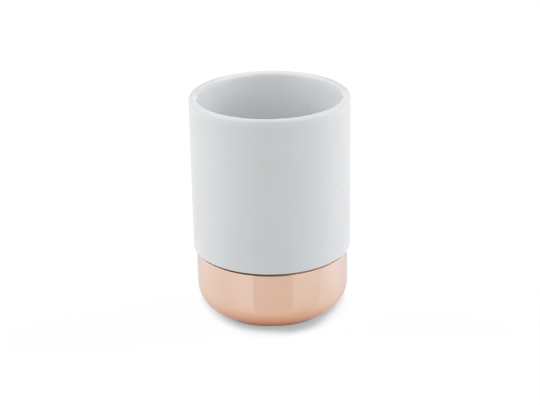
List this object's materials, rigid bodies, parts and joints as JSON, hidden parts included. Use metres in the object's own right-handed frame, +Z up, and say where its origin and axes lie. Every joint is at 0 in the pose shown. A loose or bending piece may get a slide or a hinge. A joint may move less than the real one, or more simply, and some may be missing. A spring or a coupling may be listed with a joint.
{
  "type": "bathroom tumbler",
  "caption": "Glazed ceramic bathroom tumbler with a full-round rim, bonded into a bowl-shaped copper-plated metal base with a rounded edge and a non-slip foot pad.",
  "frame": {"origin": "middle of the flat face of the foot pad, on the surface that the tumbler stands on", "axes": "+Z up along the tumbler's axis of revolution, through the open rim; -Y faces the picture's camera"},
  "size_m": [0.076, 0.076, 0.109],
  "materials": {
    "glaze": "clear gloss glaze over white ceramic, bare on the hidden foot ring",
    "copper_plate": "polished rose copper plating on drawn steel",
    "dark_bond": "cured dark brown sealing silicone",
    "tape": "double-sided adhesive film",
    "foam_pad": "matte non-slip foam rubber"
  },
  "bodies": {
    "root": {"ceramic_cup": "glaze", "base_shell": "copper_plate", "rim_adhesive": "dark_bond", "foot_adhesive": "dark_bond", "pad_tape": "tape", "foot_pad": "foam_pad"}
  },
  "joints": []
}
